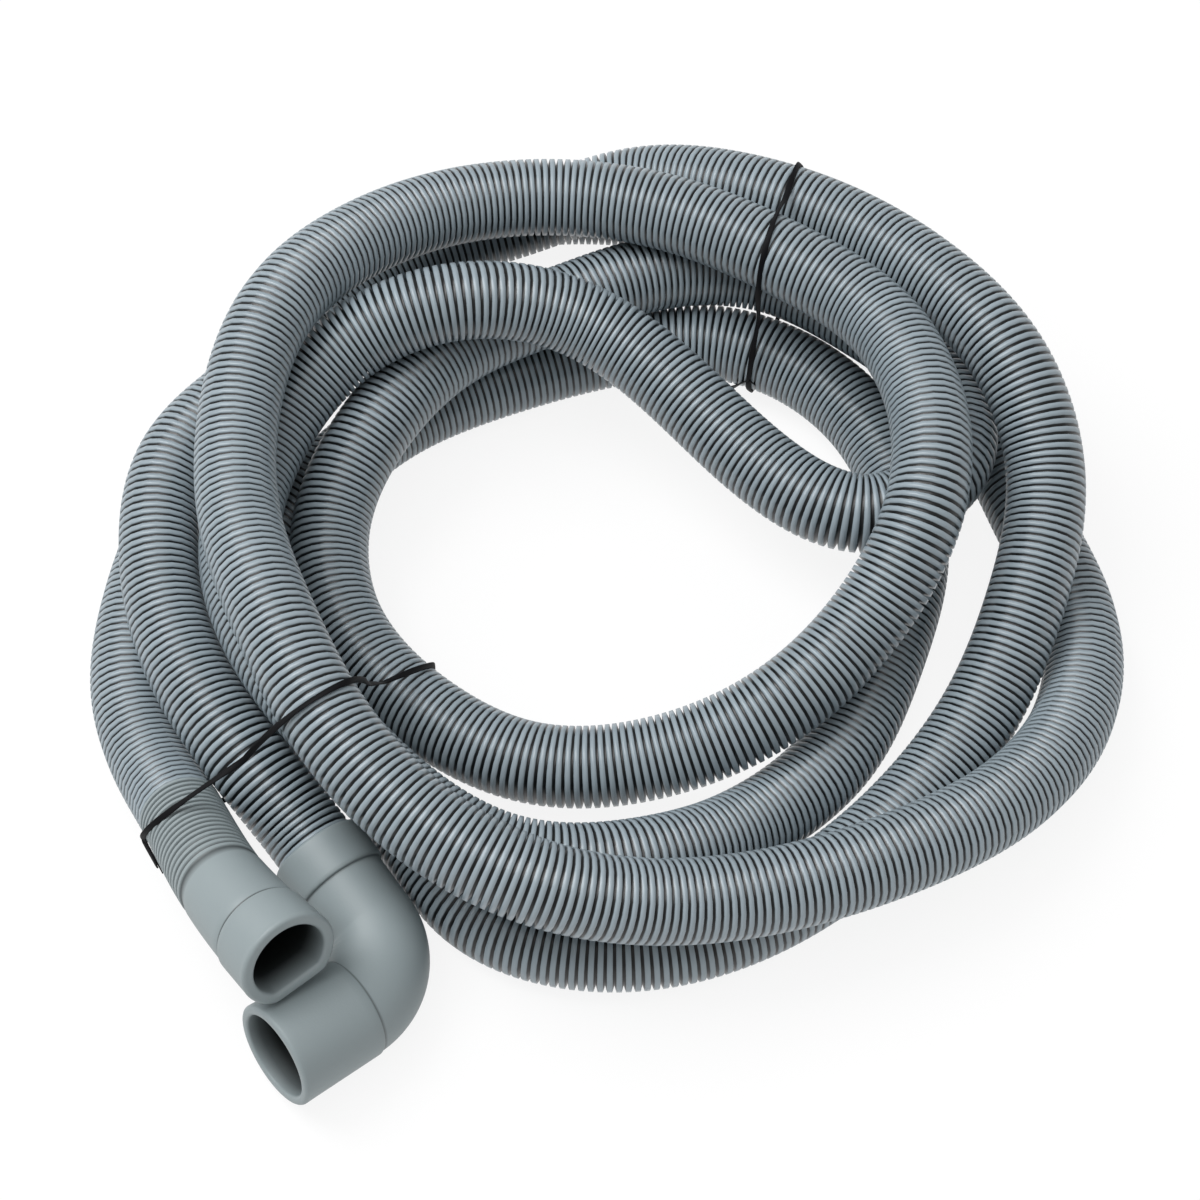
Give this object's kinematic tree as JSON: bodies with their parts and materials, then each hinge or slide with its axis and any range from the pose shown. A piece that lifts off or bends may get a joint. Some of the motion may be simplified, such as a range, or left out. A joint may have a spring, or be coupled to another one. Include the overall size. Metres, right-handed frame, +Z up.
{
  "type": "dishwasher drain hose extension",
  "caption": "Long corrugated plastic drain hose wound into a loose coil, with a straight push-on cuff, a right-angle elbow socket and two wire ties.",
  "frame": {"origin": "bottom centre of the coil's bounding box, on the surface it lies on", "axes": "+Z up, through the coil's flat side; the elbow's outlet looks along -X and the cuff's mouth along -Y"},
  "size_m": [0.3495, 0.3336, 0.0909],
  "materials": {
    "hose_grey": "corrugated, satin",
    "fitting_grey": "soft moulded, matt",
    "tie_black": "satin"
  },
  "bodies": {
    "root": {"drain_hose": "hose_grey", "straight_cuff": "fitting_grey", "elbow_connector": "fitting_grey", "front_tie": "tie_black", "rear_tie": "tie_black"}
  },
  "joints": []
}
